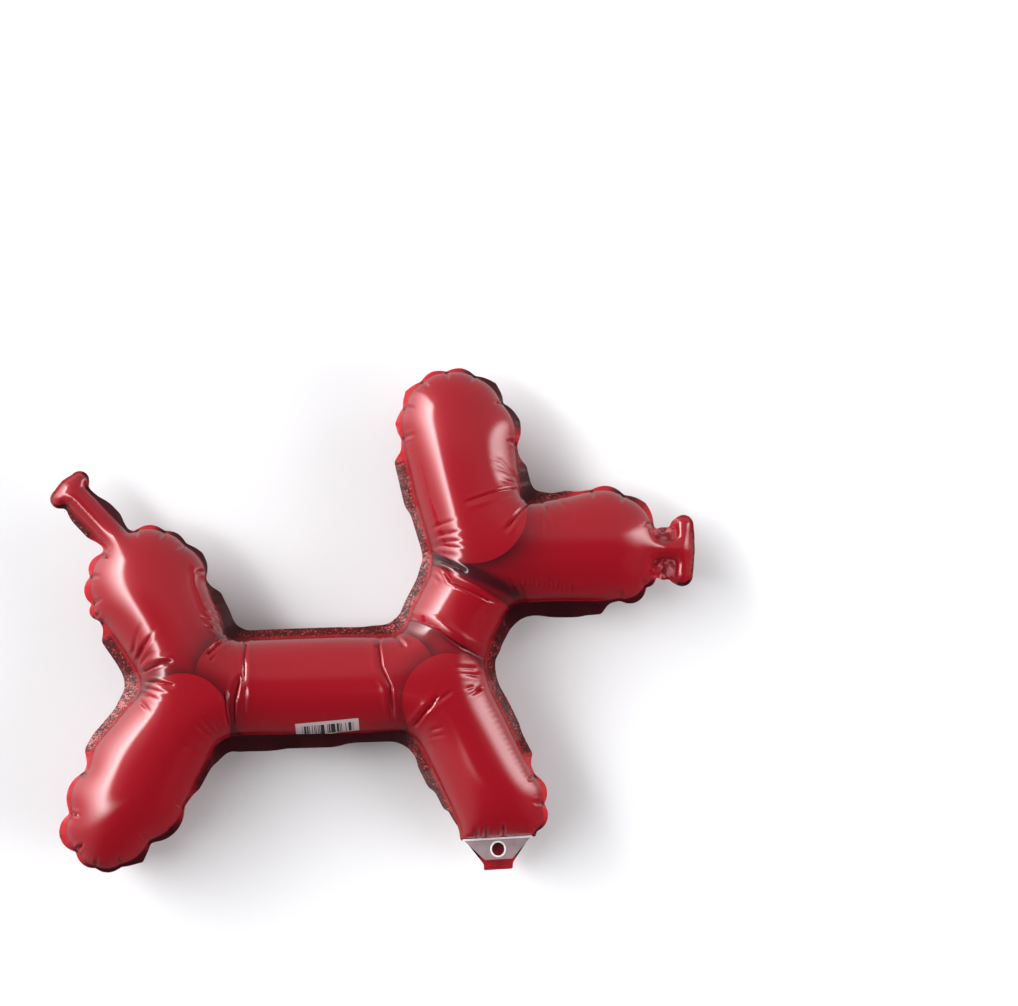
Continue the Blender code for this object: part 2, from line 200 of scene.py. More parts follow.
TUBES = (TAIL, lip(TAIL, TAIL_LIP_HALF, TAIL_LIP_WIDTH),
         NOZZLE, lip(NOZZLE, NOZZLE_LIP_HALF, NOZZLE_LIP_WIDTH))
print(len(TUBES), "thin tubes and lips")


# %% The weld as a distance
def ramp(values, low, high):
    """0 below low and 1 above high, with soft ends."""
    share = np.clip((values - low) / (high - low), 0, 1)
    return share * share * (3 - 2 * share)


def sealed(weld, points):
    """Cuts a distance off straight across the foot."""
    below, along = past_seal(points)
    return np.where(np.abs(along) < NECK_TOP * 2, np.maximum(weld, below), weld)


def limbs_distance(points):
    """Signed distance to the limbs without their lobes, and the tube's half width there."""
    fields = [(*chain(points, stations), BLEND) for stations in LIMBS.values()]
    fields += [(*chain(points, stations), SMALL_BLEND) for stations in TUBES]
    weld = fields[0][0]
    for away, _, blend in fields[1:]:
        weld = soft_min(weld, away, blend)
    nearest = np.min([away for away, _, _ in fields], axis=0)
    weights = [np.exp((nearest - away) / (BLEND / 2)) for away, _, _ in fields]
    width = sum(w * f[1] for w, f in zip(weights, fields)) / sum(weights)
    return sealed(weld, points), width


def with_lobes(weld, points, at_cut):
    """Adds the lobes to a distance: one arc through each two neighbouring pinches."""
    for row, *roundness in PINCHES:
        for (x0, y0), (x1, y1) in zip(row[:-1], row[1:]):
            half = math.dist((x0, y0), (x1, y1)) / 2
            radius = half * roundness[at_cut]
            set_in = math.sqrt(radius ** 2 - half ** 2) / (2 * half)
            centre = ((x0 + x1) / 2 + (y1 - y0) * set_in, (y0 + y1) / 2 - (x1 - x0) * set_in)
            weld = np.minimum(weld, np.linalg.norm(points - centre, axis=1) - radius)
    return sealed(weld, points)


def weld_distance(points):
    """Signed distance to the weld line."""
    return with_lobes(limbs_distance(points)[0], points, False)


# %% The cut edge as a distance
def pinch_points():
    """Every pinch, and the two corners of the foot's seal."""
    found = [place for row, *_ in PINCHES for place in row]
    x, y = SEAL_MIDDLE
    for side in (-NECK_TOP, NECK_TOP):
        found.append((x + side * math.cos(SEAL_TILT), y + side * math.sin(SEAL_TILT)))
    return np.array(found)


def flange_width(points):
    """Width of the flange at each point."""
    total, weights = 0, 0
    for x, y, width in FLANGES:
        weight = 1 / (np.sum((points - (x, y)) ** 2, axis=1) ** 2 + SAMPLE ** 4)
        total = total + weight * width
        weights = weights + weight
    away = np.min([np.linalg.norm(points - pinch, axis=1) for pinch in pinch_points()], axis=0)
    return END_FLANGE + (total / weights - END_FLANGE) * ramp(away, DRAWN_IN, GROWN_BACK)


def cut_distance(points):
    """Signed distance to the outline that the sheets are cut to."""
    limbs = limbs_distance(points)[0]
    lobed = with_lobes(limbs, points, True)
    cut = soft_min(limbs - flange_width(points), lobed - END_FLANGE, SMALL_BLEND)
    cut = soft_min(cut, chain(points, WEB)[0], SMALL_BLEND)
    below, along = past_seal(points)
    cut = np.where(np.abs(along) < NECK_TOP * 2, np.maximum(cut, below - END_FLANGE), cut)
    share = np.clip(below / NECK_TAPER, 0, 1)
    neck = np.abs(along) - (NECK_TOP + (NECK_STRIP - NECK_TOP) * share)
    neck = np.maximum(neck, np.maximum(below - NECK_LENGTH, -below - NECK_BEHIND))
    return np.minimum(cut, neck)


belly = np.array([(-0.030, -0.072)])
print("at the belly the cut edge lies", round(1000 * (weld_distance(belly) - cut_distance(belly))[0], 1),
      "mm outside the weld")

# %% [markdown]
# To mesh the film we need points along the weld and the cut edge at even steps.  A distance
# field sampled on a grid can be walked: step along the contour, then slide down the slope
# back onto it.

# %% A distance that can be walked along
SLIDES, LEAST_SLOPE = 4, 0.1      # how often a point slides back to the contour, and how steeply


class Sampled:
    """A distance sampled on a fine grid, so that a contour can be walked quickly."""

    def __init__(self, distance, low, high):
        self.low = np.array(low)
        size = np.ceil((np.array(high) - self.low) / SAMPLE).astype(int) + 1
        rows, columns = np.mgrid[0:size[1], 0:size[0]]
        points = np.stack([columns.ravel(), rows.ravel()], axis=1) * SAMPLE + self.low
        self.values = distance(points).reshape(size[1], size[0])
        self.slopes = np.stack(np.gradient(self.values, SAMPLE)[::-1], axis=-1)

    def at(self, table, point):
        """Bilinear value of a table at one point."""
        u, v = (point - self.low) / SAMPLE
        i, j = int(u), int(v)
        s, t = u - i, v - j
        near = table[j, i] * (1 - s) + table[j, i + 1] * s
        far = table[j + 1, i] * (1 - s) + table[j + 1, i + 1] * s
        return near * (1 - t) + far * t

    def onto(self, point, level):
        """Moves a point down the slope onto a contour, and returns it with the slope."""
        for _ in range(SLIDES):
            slope = self.at(self.slopes, point)
            steep = max(float(slope @ slope), LEAST_SLOPE)
            point = point - slope * (self.at(self.values, point) - level) / steep
        return point, slope / max(np.linalg.norm(slope), 1e-6)

    def contour(self, level, step):
        """Points along one closed contour, a step apart, anticlockwise."""
        inside = np.argwhere(self.values < level)
        row, column = inside[np.argmin(inside[:, 0])]
        start, slope = self.onto(np.array([column, row]) * SAMPLE + self.low, level)
        loop = [start]
        point = start
        while len(loop) < 4 or np.linalg.norm(point - start) > step * 0.8:
            ahead = np.array([-slope[1], slope[0]])
            point, slope = self.onto(point + ahead * step, level)
            loop.append(point)
        return np.array(loop[:-1])


# %% Walk the weld and the cut edge
stations = np.array([s for limb in LIMBS.values() for s in limb] + [s for tube in TUBES for s in tube])
LOW = (stations[:, :2] - stations[:, 2:]).min(axis=0) - SPARE
HIGH = (stations[:, :2] + stations[:, 2:]).max(axis=0) + SPARE
EDGE_STEP = 0.0012
weld_field = Sampled(weld_distance, LOW, HIGH)
weld_line = weld_field.contour(0, EDGE_STEP)
cut_line = Sampled(cut_distance, LOW, HIGH).contour(0, EDGE_STEP)
SHIFT = -(cut_line.min(axis=0) + cut_line.max(axis=0)) / 2 + np.array(BALLOON_LOW + BALLOON_HIGH)[:2] / 2
SEAM_HEIGHT = FILM_LOW.z - 0.0007     # the film lies this much over the seam plane
print("weld", round(len(weld_line) * EDGE_STEP, 3), "m long, figure shifted by",
      np.round(SHIFT * 1000, 2), "mm")

# %% [markdown]
# Wrinkles.  A wrinkle in taut film is a narrow valley with a raised shoulder on each side,
# sharp where it starts at the weld and fading as it runs out over the tube.  Simulated cloth
# would make wrinkles too, but not these ones, so each is a short line placed where the
# real film folds: its points, and then its depth, its half width and its lean.

# %% The wrinkles, in millimetres in the seam plane
MM = 0.001
FOLDS = (
    # where two limbs meet: these run right across
    (((17.4, 1.9), (27.3, -2.5), (38.4, -7.4), (47.1, -14.3), (55.2, -19.8), (60.1, -21.4),
      (70.1, -26.7)), 1.2, 1.2, 0.5),
    (((41.5, 29.1), (47.1, 20.5), (60.1, 13.9), (70.7, 8.7), (83.5, 6.4)), 1.0, 1.1, 0.5),
    (((66.3, 14.9), (76.9, 8.7)), 0.6, 0.9, 0.0),
    (((39.1, 34.7), (50.2, 29.1), (57.7, 24.8)), 0.9, 1.0, 0.3),
    (((56.7, 68.8), (72.5, 74.4), (93.0, 80.0)), 0.5, 1.0, -0.4),
    (((98.4, 74.4), (89.9, 63.2), (81.2, 50.8)), 0.9, 1.0, 0.0),
    (((5.0, -9.3), (3.7, -18.0), (5.0, -31.6), (10.5, -44.6), (13.0, -63.9)), 1.0, 1.1, -0.4),
    (((9.3, -50.2), (11.2, -63.2)), 0.6, 0.9, 0.0),
    (((9.9, -6.2), (20.1, -20.5)), 0.7, 0.9, 0.0),
    (((25.2, -68.2), (33.5, -58.3), (40.9, -49.6)), 1.1, 1.0, 0.4),
    (((33.5, -58.3), (48.4, -47.1)), 0.6, 0.9, 0.0),
    (((-90.5, -47.7), (-89.3, -62.4), (-87.4, -72.5)), 1.1, 1.1, 0.4),
    (((-79.0, -13.0), (-78.4, -33.5), (-78.7, -45.3)), 0.9, 1.0, 0.3),
    (((-80.6, -37.8), (-84.3, -53.9), (-84.6, -70.7)), 1.1, 1.1, -0.4),
    (((-77.5, -44.6), (-78.4, -62.6)), 0.6, 0.9, 0.0),
    (((-88.0, -11.2), (-96.1, -19.2), (-102.6, -26.4)), 1.0, 1.0, 0.3),
    (((-95.5, -24.2), (-99.5, -29.0)), 0.6, 0.8, 0.0),
    (((-142.6, -35.2), (-130.2, -30.4), (-122.1, -29.4)), 1.1, 1.0, 0.4),
    (((-140.7, -40.3), (-132.1, -41.5), (-121.1, -44.0)), 0.9, 1.0, -0.3),
)
FANS = (
    # from a corner of the weld out over the tube: the first point is at the corner
    (((39.7, 49.0), (57.7, 51.5)), 0.5, 1.0), (((41.5, 45.3), (57.7, 44.6)), 0.6, 1.0),
    (((39.7, 43.4), (58.3, 39.7)), 0.7, 1.0), (((39.7, 27.9), (45.9, 19.8)), 0.5, 0.8),
    (((37.2, 24.8), (41.5, 18.6)), 0.5, 0.8),
    (((88.7, 86.8), (78.7, 95.5), (69.4, 97.3)), 0.4, 1.1),
    (((91.8, 83.1), (81.8, 89.3), (70.7, 92.4)), 0.5, 1.1), (((86.8, 82.5), (76.9, 83.7)), 0.4, 1.1),
    (((104.8, 71.9), (107.3, 63.2), (110.2, 47.1)), 0.5, 1.0), (((103.5, 58.9), (104.2, 45.3)), 0.3, 1.0),
    (((115.3, 71.9), (124.0, 58.9)), 0.35, 1.0),
    (((89.9, 11.8), (79.4, 24.8)), 0.8, 1.0), (((93.0, 11.8), (87.7, 22.3)), 0.7, 0.9),
    (((-145.7, -28.5), (-140.7, -19.2), (-134.5, -13.0)), 0.7, 1.0),
    (((-147.9, -23.6), (-144.8, -14.9)), 0.6, 0.9),
    (((-143.2, -30.4), (-138.3, -25.4), (-132.7, -22.3)), 0.5, 0.9),
    (((-148.2, -22.3), (-141.4, -3.1)), 0.5, 1.0),
    (((-145.1, -26.0), (-130.2, -5.6)), 0.6, 1.1),
    (((-139.5, -44.6), (-125.2, -49.0)), 0.6, 0.9), (((-142.6, -47.1), (-128.3, -53.9)), 0.6, 0.9),
    (((-141.7, -53.9), (-134.5, -61.4)), 0.5, 0.9),
    (((-95.5, -76.9), (-112.8, -64.5)), 0.8, 1.0), (((-95.5, -73.8), (-107.9, -59.3)), 0.7, 1.0),
    (((-94.2, -70.7), (-103.5, -58.3)), 0.5, 0.9), (((-105.7, -83.9), (-121.1, -78.7)), 0.5, 1.0),
    (((61.4, -32.9), (48.4, -32.9)), 0.45, 1.0), (((63.9, -36.6), (49.9, -36.0)), 0.5, 1.0),
    (((61.4, -44.4), (54.9, -46.3)), 0.4, 0.9), (((66.3, -44.4), (57.5, -50.7)), 0.6, 0.9),
    (((36.0, -70.7), (44.6, -68.8)), 0.35, 0.9), (((36.0, -74.8), (45.9, -73.5)), 0.35, 0.9),
    (((35.3, -78.7), (43.4, -77.5)), 0.3, 0.9),
    (((-95.5, 5.0), (-107.0, 9.0)), 0.3, 0.9), (((-94.0, 0.5), (-107.5, 4.5)), 0.35, 0.9),
    (((-92.0, -5.1), (-108.8, -0.2)), 0.35, 0.9), (((-91.5, -10.0), (-108.0, -5.5)), 0.3, 0.9),
    (((38.2, 55.0), (53.7, 58.9)), 0.35, 0.9), (((39.2, 36.0), (52.0, 28.0)), 0.5, 0.9),
    (((63.9, -135.4), (63.0, -129.0)), 1.5, 1.0), (((69.2, -134.9), (69.5, -127.3)), 1.7, 1.0),
    (((80.2, -134.2), (79.6, -125.8)), 1.8, 1.0),
)
# A row of short pleats along the jaw: its first, the step to the next, and a pleat's run.
ROW_FROM, ROW_STEP, ROW_COUNT = (93.0, 19.0), (2.9, -0.25), 11
ROW_RUN, ROW_DEPTH, ROW_WIDTH = (-0.7, 5.5), 0.4, 0.75
JAW_ROW = []
for k in range(ROW_COUNT):
    x, y = ROW_FROM[0] + ROW_STEP[0] * k, ROW_FROM[1] + ROW_STEP[1] * k
    JAW_ROW.append((((x, y), (x + ROW_RUN[0], y + ROW_RUN[1])), ROW_DEPTH, ROW_WIDTH))
DEEPER, WIDER = 1.4, 1.35         # every wrinkle is drawn this much stronger, or it hardly shows
print(len(FOLDS), "folds,", len(FANS), "lines in fans and", len(JAW_ROW), "pleats at the jaw")

# %% Every wrinkle as a line in metres
PINCH_BEHIND, PINCH_LENGTH = 0.002, 0.0065
PINCH_DEPTH, PINCH_WIDTH = 0.0026, 0.0010
PROBE = 0.001


def inward(place):
    """The direction from a place on the weld into the limb."""
    probes = np.array([place + np.array(way) * PROBE for way in ((1, 0), (-1, 0), (0, 1), (0, -1))])
    away = limbs_distance(probes)[0]
    slope = np.array([away[0] - away[1], away[2] - away[3]])
    return -slope / np.linalg.norm(slope)


def all_wrinkles():
    """Each wrinkle's line, its depth and half width, its lean, and if it runs out."""
    found = []
    drawn = [(*fold, False) for fold in FOLDS] + [(*fan, 0.0, True) for fan in (*FANS, *JAW_ROW)]
    for line, depth, width, lean, runs_out in drawn:
        corners = [(x * MM, y * MM) for x, y in line]
        found.append((corners, depth * DEEPER * MM, width * WIDER * MM, lean, runs_out))
    for place in pinch_points()[:-2]:
        way = inward(place)
        corners = [tuple(place - way * PINCH_BEHIND), tuple(place + way * PINCH_LENGTH)]
        found.append((corners, PINCH_DEPTH, PINCH_WIDTH, 0.0, True))
    return found


WRINKLES = all_wrinkles()
print(len(WRINKLES), "wrinkles, the pinches' own folds among them")


# %% How far a point lies across and along a wrinkle
def across_and_along(points, line):
    """Signed distance to a bent line, and the share of its length at the nearest point."""
    across = np.full(len(points), np.inf)
    along = np.zeros(len(points))
    lengths = [math.dist(a, b) for a, b in zip(line[:-1], line[1:])]
    done = 0
    for k, (a, b) in enumerate(zip(line[:-1], line[1:])):
        start, run = np.array(a), np.array(b) - np.array(a)
        offset = points - start
        low = -1.0 if k == 0 else 0.0
        high = 2.0 if k == len(lengths) - 1 else 1.0
        share = np.clip((offset @ run) / (run @ run), low, high)
        gap = offset - share[:, None] * run
        side = np.sign(run[0] * offset[:, 1] - run[1] * offset[:, 0])
        away = np.linalg.norm(gap, axis=1)
        nearer = away < np.abs(across)
        across[nearer] = (away * side)[nearer]
        along[nearer] = ((done + share * lengths[k]) / sum(lengths))[nearer]
        done += lengths[k]
    return across, along


# %% The height that the wrinkles give the film
VALLEY, SHOULDER_OUT, SHOULDER_WIDE, SHOULDER_HIGH = 1.3, 1.9, 0.9, 0.30
BOX_WIDTHS = 12                   # how far a wrinkle is felt, in its own half widths


def groove(across, width, lean):
    """The section of a wrinkle: a sharp valley between two raised shoulders."""
    u = np.abs(across) / (width * (1 + lean * np.sign(across)))
    return SHOULDER_HIGH * np.exp(-((u - SHOULDER_OUT) / SHOULDER_WIDE) ** 2) - np.exp(-VALLEY * u)


def wrinkle_height(points):
    """How far the wrinkles move the film along its own normal."""
    height = np.zeros(len(points))
    for line, depth, width, lean, runs_out in WRINKLES:
        corners = np.array(line)
        low, high = corners.min(axis=0) - BOX_WIDTHS * width, corners.max(axis=0) + BOX_WIDTHS * width
        near = ((points > low) & (points < high)).all(axis=1)
        across, along = across_and_along(points[near], line)
        if runs_out:
            fade = ramp(along, -0.25, 0.0) * (1 - ramp(along, 0.15, 1.0))
        else:
            fade = ramp(along, -0.06, 0.12) * (1 - ramp(along, 0.80, 1.06))
        height[near] += depth * fade * groove(across, width, lean)
    return height


valley = groove(np.zeros(1), 1, 0)[0]
print("a wrinkle's valley is", round(-valley, 2), "of its depth, its shoulders", SHOULDER_HIGH)

# %% [markdown]
# Close behind the weld the film is gathered into tiny pleats, which run across the weld and
# die out within a few millimetres.  They are a wave along the weld, so each point of the
# film needs to know how far along the weld its nearest weld point lies.

# %% The pleats along the weld
PLEAT, PLEAT_HIGH, PLEAT_REACH = 0.0034, 0.00016, 0.0045
COMES, GOES, DRIFT = 0.011, 0.0173, 0.009     # lengths over which they come, go and drift
rim_tree = kdtree.KDTree(len(weld_line))
for k, place in enumerate(weld_line):
    rim_tree.insert((*place, 0), k)
rim_tree.balance()


def pleats(points, weld):
    """Height of the pleats, which come and go along the weld."""
    near = (weld < 0) & (weld > -4 * PLEAT_REACH)
    nearest = [rim_tree.find((*point, 0))[1] for point in points[near]]
    along = np.array(nearest) * EDGE_STEP
    come_and_go = 0.5 + 0.5 * np.sin(along / COMES) * np.sin(along / GOES + 1)
    height = np.zeros(len(points))
    wave = np.sin(2 * math.pi * along / PLEAT + 2 * np.sin(along / DRIFT))
    height[near] = PLEAT_HIGH * come_and_go * wave * np.exp(weld[near] / PLEAT_REACH)
    return height


print("about", round(len(weld_line) * EDGE_STEP / PLEAT), "pleats, each", PLEAT * 1000, "mm wide")

# %% [markdown]
# The sheet.  The film is one triangulated sheet with evenly spread points inside, rings of
# points close behind the weld where the tube's wall is steep, and rows of points along every
# wrinkle, so that a fold is a real edge in the mesh.  No bmesh operator fills such an outline
# with even triangles, so a Delaunay triangulation, with the lines as constraints, does it.

# %% Helpers for the sheet's points
LATTICE = 0.00104
RINGS = (0.0004, 0.0016, 0.0036)
LINE_STEP, SIDE_ROW = 0.0009, 0.0006     # steps along a wrinkle, and the rows beside it
KEEP_OFF, ROWS_OFF, LATTICE_OFF = 0.0006, 0.7, 0.6


def lattice(spacing):
    """Points of an even triangular pattern over the whole figure."""
    row_height = spacing * math.sqrt(3) / 2
    rows, columns = np.mgrid[0:int((HIGH[1] - LOW[1]) / row_height), 0:int((HIGH[0] - LOW[0]) / spacing)]
    x = LOW[0] + (columns + 0.5 * (rows % 2)) * spacing
    y = LOW[1] + rows * row_height
    return np.stack([x.ravel(), y.ravel()], axis=1)


def drawn_line(line):
    """Points at even steps along a bent line, and the direction across it at each."""
    points, sides = [], []
    for a, b in zip(line[:-1], line[1:]):
        start, run = np.array(a), np.array(b) - np.array(a)
        count = max(int(np.linalg.norm(run) / LINE_STEP), 1)
        for k in range(count):
            points.append(start + run * k / count)
            sides.append(np.array([-run[1], run[0]]) / np.linalg.norm(run))
    return np.array(points), np.array(sides)


def clear_of(points, others, gap):
    """The points that keep a gap from all the others."""
    tree = kdtree.KDTree(len(others))
    for k, other in enumerate(others):
        tree.insert((*other, 0), k)
    tree.balance()
    return points[[tree.find((*point, 0))[2] > gap for point in points]]


# %% Lay out the points and join them
loops = [cut_line, weld_line] + [weld_field.contour(-depth, EDGE_STEP) for depth in RINGS]
edges, first = [], 0
for loop in loops:
    edges += [(first + k, first + (k + 1) % len(loop)) for k in range(len(loop))]
    first += len(loop)
creases, rows = [], []
for line, *_ in WRINKLES:
    drawn, side = drawn_line(line)
    inside = weld_distance(drawn) < -RINGS[-1] - KEEP_OFF
    drawn, side = drawn[inside], side[inside]
    if len(drawn) > 1:
        edges += [(first + k, first + k + 1) for k in range(len(drawn) - 1)]
        first += len(drawn)
        creases.append(drawn)
        rows += [drawn + side * SIDE_ROW, drawn - side * SIDE_ROW]
creases = np.concatenate(creases)
rows = clear_of(np.concatenate(rows), creases, KEEP_OFF * ROWS_OFF)
rows = rows[weld_distance(rows) < -RINGS[-1] - KEEP_OFF]
inner = lattice(LATTICE)
inner = inner[weld_distance(inner) < -RINGS[-1] - LATTICE * LATTICE_OFF]
inner = clear_of(inner, np.concatenate([creases, rows]), KEEP_OFF)
points = np.concatenate(loops + [creases, rows, inner])
flat, _, faces, *_ = delaunay_2d_cdt([Vector(p) for p in points], edges, [], 1, 1e-7)
flat = np.array([tuple(p) for p in flat])
print("one sheet:", len(flat), "points,", len(faces), "triangles")

# %% [markdown]
# How high the film stands.  A soap film over the same outline, under an even load, would
# stand in a long limb as a parabola.  The square root of that is a half circle, which is the
# round tube that we want, and at a limb's end it tapers gently, as a foil balloon does.  A
# soap film bends equally everywhere, so its height is one linear system on the sheet's own
# triangles, which conjugate gradients solve.  Cloth under pressure would do as well, but it
# would take minutes, and it would move the weld off the model's outline.

# %% Helpers for the height
def spring_weights(flat, faces):
    """Edges of the sheet with their stiffness, and the area that belongs to each point."""
    corners = np.array(faces)
    area = np.zeros(len(flat))
    ends, stiffness = [], []
    for k in range(3):
        a, b, c = corners[:, k], corners[:, (k + 1) % 3], corners[:, (k + 2) % 3]
        to_a, to_b = flat[a] - flat[c], flat[b] - flat[c]
        doubled = np.abs(to_a[:, 0] * to_b[:, 1] - to_a[:, 1] * to_b[:, 0])
        ends.append(np.stack([a, b], axis=1))
        stiffness.append((to_a * to_b).sum(axis=1) / np.maximum(doubled, 1e-12) / 2)
        area += np.bincount(a, doubled / 6, len(flat))
    return np.concatenate(ends), np.concatenate(stiffness), area


SETTLED, MOST_ROUNDS = 1e-10, 3000


def soap_film(flat, faces, free):
    """Height of a film under even load that is held wherever it isn't free."""
    ends, stiffness, load = spring_weights(flat, faces)
    first, second = ends[:, 0], ends[:, 1]
    size = len(flat)
    diagonal = np.bincount(first, stiffness, size) + np.bincount(second, stiffness, size)
    diagonal = np.maximum(diagonal, 1e-6)
    height = np.zeros(size)
    left_over = load * free
    eased = left_over / diagonal
    push = eased.copy()
    strength = left_over @ eased
    start = strength
    rounds = 0
    while strength > start * SETTLED and rounds < MOST_ROUNDS:
        pull = stiffness * (push[first] - push[second])
        answer = (np.bincount(first, pull, size) - np.bincount(second, pull, size)) * free
        share = strength / (push @ answer)
        height += share * push
        left_over -= share * answer
        eased = left_over / diagonal
        before, strength = strength, left_over @ eased
        push = eased + push * strength / before
        rounds += 1
    print("film settled in", rounds, "rounds")
    return height


# %% The height of the sheet
HELD_WITHIN = 0.00012             # the weld holds the film down to this far inside it
EVEN, FATTEST = 0.027, 0.0345     # above the first height the film is held back towards the second
inside = weld_distance(flat) < -HELD_WITHIN
blown = np.sqrt(2 * np.maximum(soap_film(flat, faces, inside), 0))
held = EVEN + (FATTEST - EVEN) * np.tanh((blown - EVEN) / (FATTEST - EVEN))
print("tallest, before it is held back:", round(blown.max() * 1000, 1), "mm")
blown = np.where(blown > EVEN, held, blown)

# %% [markdown]
# Both sheets.  The second sheet is the first one mirrored in the seam plane, and a narrow
# skirt round the cut edge closes the two.

# %% Blow up and weld both sheets
FILM = 0.0005                    # both sheets at the weld; the real ones are 0.1 mm
film = bmesh.new()
corners = [film.verts.new((x, y, FILM / 2 + z)) for (x, y), z in zip(flat, blown)]
for face in faces:
    film.faces.new([corners[k] for k in face])
bmesh.ops.recalc_face_normals(film, faces=film.faces)
if sum(face.normal.z for face in film.faces) < 0:
    bmesh.ops.reverse_faces(film, faces=film.faces)
rim = [edge for edge in film.edges if edge.is_boundary]
skirt = bmesh.ops.extrude_edge_only(film, edges=rim)["geom"]
for vert in [v for v in skirt if isinstance(v, bmesh.types.BMVert)]:
    vert.co.z = 0
bmesh.ops.mirror(film, geom=film.verts[:] + film.edges[:] + film.faces[:], axis="Z", merge_dist=1e-6)
bmesh.ops.recalc_face_normals(film, faces=film.faces)
balloon_mesh = bpy.data.meshes.new("balloon_film")
film.to_mesh(balloon_mesh)
film.free()
print("both sheets:", len(balloon_mesh.polygons), "faces")

# %% [markdown]
# The wrinkles now move each point along its normal.  The flange isn't held flat by gas, so it
# curls away from the viewer, most on the tabs between two pinches, and in slow waves.

# %% Press the wrinkles in and let the flange curl
WRINKLED_FROM, PLEATED_FROM = 0.0012, 0.0008     # how far inside the weld they have their full height
WIDE_FLANGE = 0.008
CURL, CURL_POWER = 0.0042, 1.4   # how far the flange's edge curls down where it is wide
TAB_CURL = 0.8                   # how much more a tab between pinches curls
TAB_FROM, TAB_TO = 0.011, 0.017  # how far from a pinch a tab ends
WAVES, WAVE_HIGH = 0.041, 0.0006


def read_vectors(items, field):
    """A vector of every vertex or face, as an array."""
    values = np.zeros(len(items) * 3)
    items.foreach_get(field, values)
    return values.reshape(-1, 3)


places = read_vectors(balloon_mesh.vertices, "co")
normals = read_vectors(balloon_mesh.vertices, "normal")
plan = places[:, :2].copy()
weld = weld_distance(plan)
moved = wrinkle_height(plan) * ramp(-weld, 0.0, WRINKLED_FROM)
moved += pleats(plan, weld) * ramp(-weld, 0.0, PLEATED_FROM)
places += normals * moved[:, None]
outside = np.clip(weld, 0, None)
pinch_away = np.min([np.linalg.norm(plan - pinch, axis=1) for pinch in pinch_points()[:-2]], axis=0)
tab = 1 - ramp(pinch_away, TAB_FROM, TAB_TO)
curl = CURL * (outside / WIDE_FLANGE) ** CURL_POWER * (1 + TAB_CURL * tab)
wave = np.sin(2 * math.pi * plan[:, 0] / WAVES) * np.cos(2 * math.pi * plan[:, 1] / WAVES)
places[:, 2] += WAVE_HIGH * np.clip(outside / WIDE_FLANGE, 0, 1) * wave - curl
places[:, 2] = np.maximum(places[:, 2] + SEAM_HEIGHT, 0)
places[:, :2] += SHIFT
balloon_mesh.vertices.foreach_set("co", places.ravel())
balloon_mesh.update()
print("the wrinkles move the film by up to", round(1000 * np.abs(moved).max(), 2), "mm")

# %% [markdown]
# The print.  The film is printed before it is welded: each limb is drawn as a separate
# sausage with round ends, and the ink darkens beside a sausage that lies on top.  Every
# point of the film keeps its distance to each drawn sausage, and the material turns those
# distances into crisp edges and soft shadows.

# %% Distances to the printed sausages, in millimetres
SAUSAGES = {
    "over_hind_leg": ((-0.1166, -0.0657, 0.0291), (-0.135, -0.088, 0.037), (-0.180, -0.150, 0.050)),
    "over_front_leg": ((0.0471, -0.0533, 0.0291), (0.060, -0.078, 0.036), (0.082, -0.130, 0.045)),
    "over_body": ((-0.0794, -0.0403, 0.0291), (-0.060, -0.041, 0.037), (-0.012, -0.041, 0.037),
                  (0.0074, -0.0397, 0.0313)),
    "over_ear": ((0.0612, 0.0645, 0.0332), (0.056, 0.095, 0.046), (0.050, 0.130, 0.055)),
}
NECK_ACROSS, NECK_FROM, NECK_TO = (0.476, 0.879), 0.0099, 0.0454
JOINT = ((0.040, 0.036, 0.003), (0.061, 0.026, 0.004), (0.088, 0.013, 0.002))   # darkest of all
EAR_LIGHTER, EAR_FROM, EAR_TO = 0.6, 0.035, 0.065    # the shade beside the ear pales upwards
plan = places[:, :2] - SHIFT


def keep(name, values):
    """Every point of the film keeps a number, which the materials read by this name."""
    layer = balloon_mesh.attributes.new(name, "FLOAT", "POINT")
    layer.data.foreach_set("value", values.astype(np.float32))


for name, stations in SAUSAGES.items():
    keep(name, chain(plan, stations)[0] / MM)
up_the_neck = plan @ np.array(NECK_ACROSS)
keep("over_neck", np.maximum(NECK_FROM - up_the_neck, up_the_neck - NECK_TO) / MM)
keep("in_joint", chain(plan, JOINT)[0] / MM)
keep("ear_dark", 1 - EAR_LIGHTER * ramp(plan[:, 1], EAR_FROM, EAR_TO))
print("kept for the print:", ", ".join(name for name in balloon_mesh.attributes.keys() if "over" in name))

# %% [markdown]
# The flange's finish differs from place to place too.  It needs each point's distance to the
# weld and to the nearest pinch, and which way the flange looks there: the slope of the weld's
# distance points outwards, and its product with a direction says how much it looks that way.

# %% What the flange's finish needs to know at each point
RIGHT_UP, STRAIGHT_DOWN, LEFT_UP = (0.77, 0.64), (0.25, -0.97), (-0.85, 0.53)
outward = np.stack([weld_distance(plan + way) - weld_distance(plan - way)
                    for way in (np.array([PROBE, 0]), np.array([0, PROBE]))], axis=1)
outward /= np.maximum(np.linalg.norm(outward, axis=1, keepdims=True), 1e-9)
below, along_seal = past_seal(plan)
# Which way the flange looks, away, down or towards the light: this drives its painted shade and painted
# glints.
turned_away = ramp(outward @ np.array(RIGHT_UP), 0.70, 0.93)
turned_away *= ramp(plan[:, 1], -0.050, -0.010) * (1 - ramp(plan[:, 0], 0.160, 0.172))
keep("from_pinch", pinch_away / MM)
keep("from_weld", weld_distance(plan) / MM)
keep("turned_away", turned_away)
keep("turned_down", ramp(outward @ np.array(STRAIGHT_DOWN), 0.35, 0.85))
keep("towards_light", ramp(outward @ np.array(LEFT_UP), 0.55, 0.95))
keep("on_web", 1 - ramp(chain(plan, WEB)[0], 0.0, 0.0025))
keep("on_strip", ramp(below, 0.011, 0.014) * (np.abs(along_seal) < NECK_TOP))
